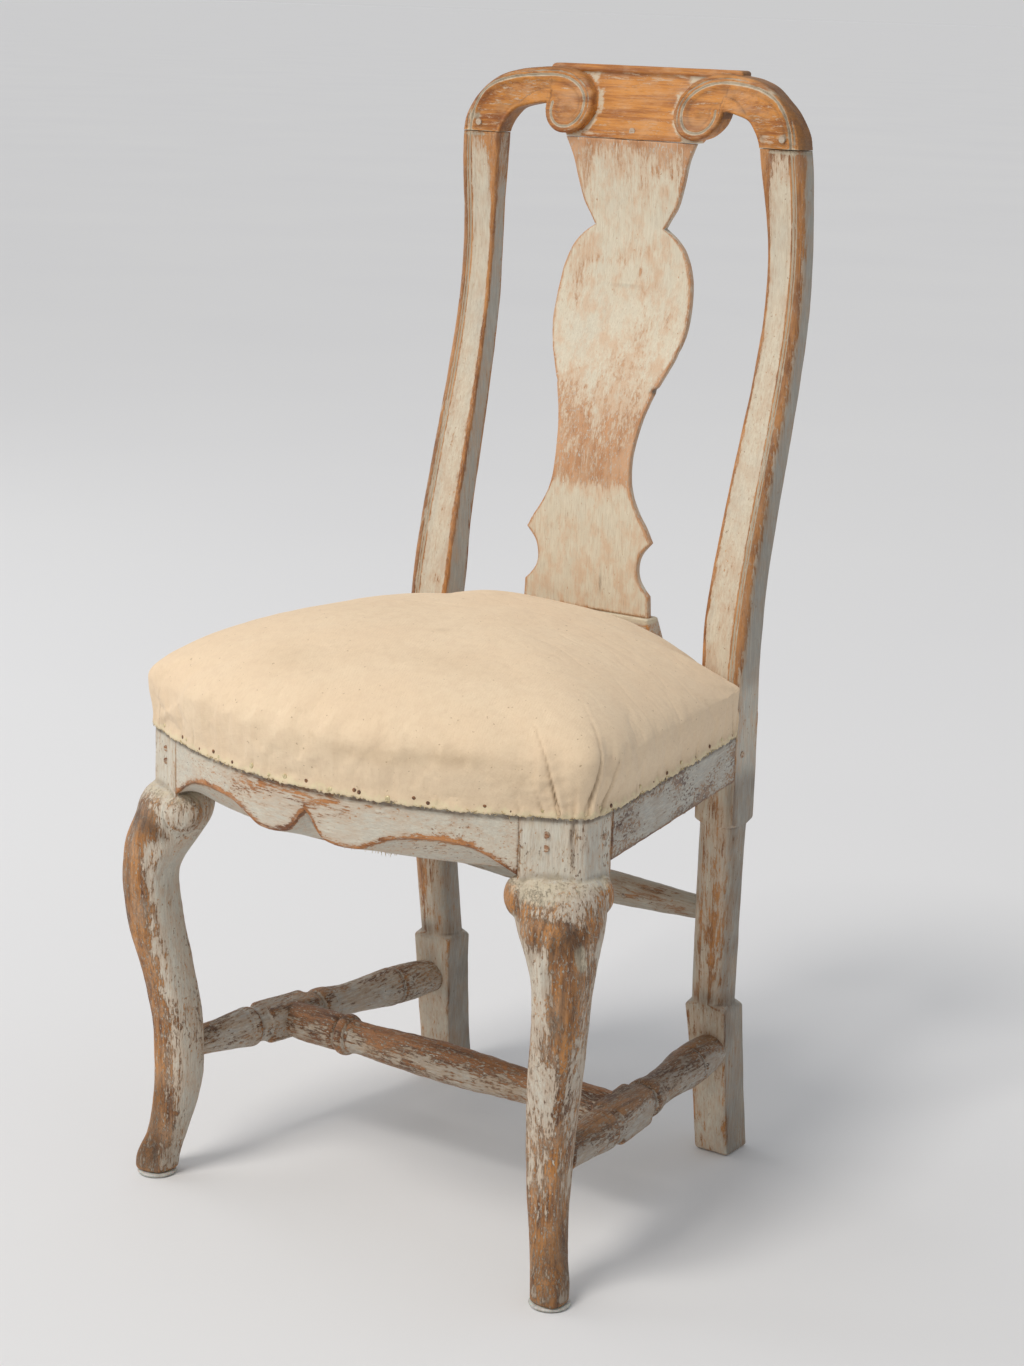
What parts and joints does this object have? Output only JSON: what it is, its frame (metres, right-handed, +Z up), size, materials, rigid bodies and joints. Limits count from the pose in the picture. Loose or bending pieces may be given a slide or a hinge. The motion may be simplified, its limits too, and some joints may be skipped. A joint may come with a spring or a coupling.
{
  "type": "side chair",
  "caption": "Painted wooden side chair with a shaped back splat, scrolled crest rail, padded muslin seat, carved apron, cabriole front legs and turned stretchers.",
  "frame": {"origin": "on the floor under the middle of the chair's bounding box", "axes": "+X to the right as seen from the front, +Y towards the back of the chair, +Z up"},
  "size_m": [0.5168, 0.531, 1.057],
  "materials": {
    "painted_wood": "worn pale grey-green paint over orange-brown wood",
    "bare_wood": "rubbed orange-brown wood with traces of cream paint",
    "glide_plastic": "pale translucent nylon",
    "jute": "coarse woven jute",
    "horsehair": "stuffed hair",
    "muslin": "plain cotton muslin with a raw edge"
  },
  "bodies": {
    "root": {"right_back_post": "painted_wood", "left_back_post": "painted_wood", "right_front_leg": "painted_wood", "left_front_leg": "painted_wood", "right_seat_rail": "painted_wood", "left_seat_rail": "painted_wood", "right_side_stretcher": "painted_wood", "left_side_stretcher": "painted_wood", "right_foot_glide": "glide_plastic", "left_foot_glide": "glide_plastic", "front_seat_rail": "painted_wood", "rear_seat_rail": "painted_wood", "crest_rail": "bare_wood", "back_splat": "painted_wood", "splat_shoe": "bare_wood", "cross_stretcher": "painted_wood", "rear_stretcher": "painted_wood", "right_upper_front_rail_peg": "bare_wood", "left_upper_front_rail_peg": "bare_wood", "right_lower_front_rail_peg": "bare_wood", "left_lower_front_rail_peg": "bare_wood", "right_side_rail_front_peg": "bare_wood", "left_side_rail_front_peg": "bare_wood", "right_side_rail_rear_peg": "bare_wood", "left_side_rail_rear_peg": "bare_wood", "right_crest_peg": "bare_wood", "left_crest_peg": "bare_wood", "splat_peg": "bare_wood", "left_lengthway_strap": "jute", "middle_lengthway_strap": "jute", "right_lengthway_strap": "jute", "front_crossway_strap": "jute", "middle_crossway_strap": "jute", "rear_crossway_strap": "jute", "hessian_sheet": "jute", "stuffing_pad": "horsehair", "muslin_cover": "muslin", "bottom_cloth": "muslin"}
  },
  "joints": []
}
